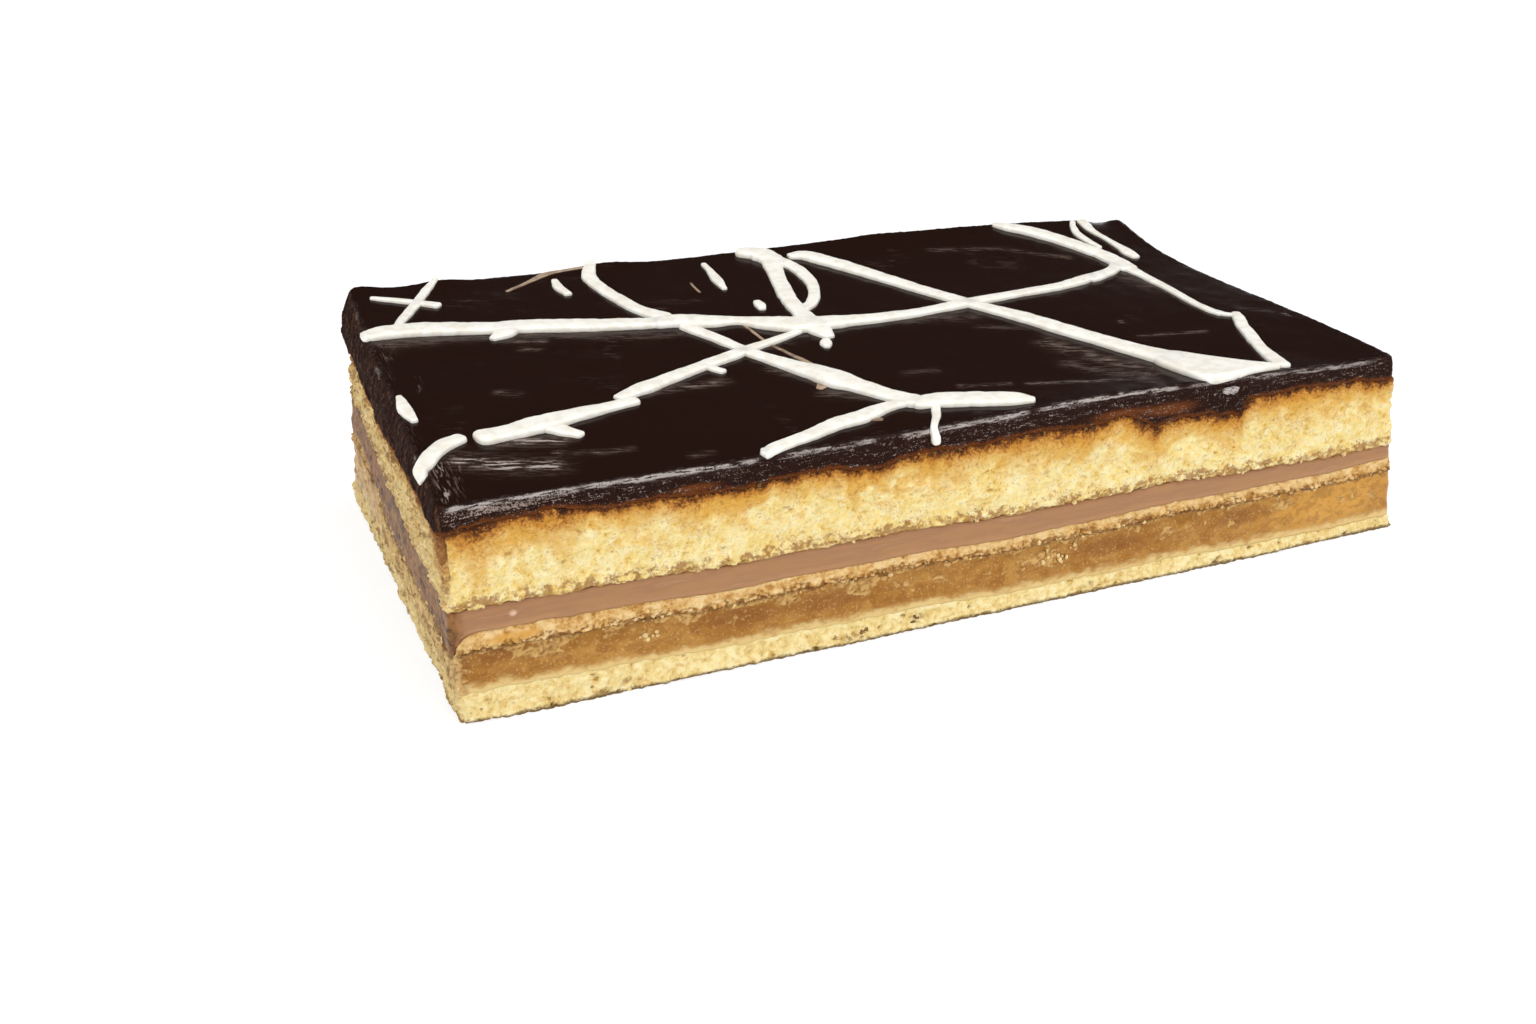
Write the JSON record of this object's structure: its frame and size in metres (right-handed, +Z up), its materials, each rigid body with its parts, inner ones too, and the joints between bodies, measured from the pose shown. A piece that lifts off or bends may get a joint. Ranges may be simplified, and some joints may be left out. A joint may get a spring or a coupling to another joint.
{
  "type": "opera cake",
  "caption": "Rectangular bar of layered opera cake with sponge, mousse and caramel layers, glossy chocolate icing on top and white drizzle across it.",
  "frame": {"origin": "centre of the underside", "axes": "+X along the cut front to the right, +Y from the cut front to the back, +Z up"},
  "size_m": [0.1895, 0.0968, 0.0449],
  "materials": {
    "chocolate": "glossy, brushed",
    "sponge": "open crumb",
    "soaked_sponge": "moist, smeared crumb",
    "thin_sponge": "dense crumb",
    "mousse": "satin, knife-drawn",
    "base_crumb": "open crumb",
    "white_drizzle": "satin"
  },
  "bodies": {
    "root": {"base_sponge": "base_crumb", "caramel_layer": "soaked_sponge", "middle_sponge": "thin_sponge", "mocha_mousse": "mousse", "upper_sponge": "sponge", "chocolate_icing": "chocolate"}
  },
  "joints": []
}
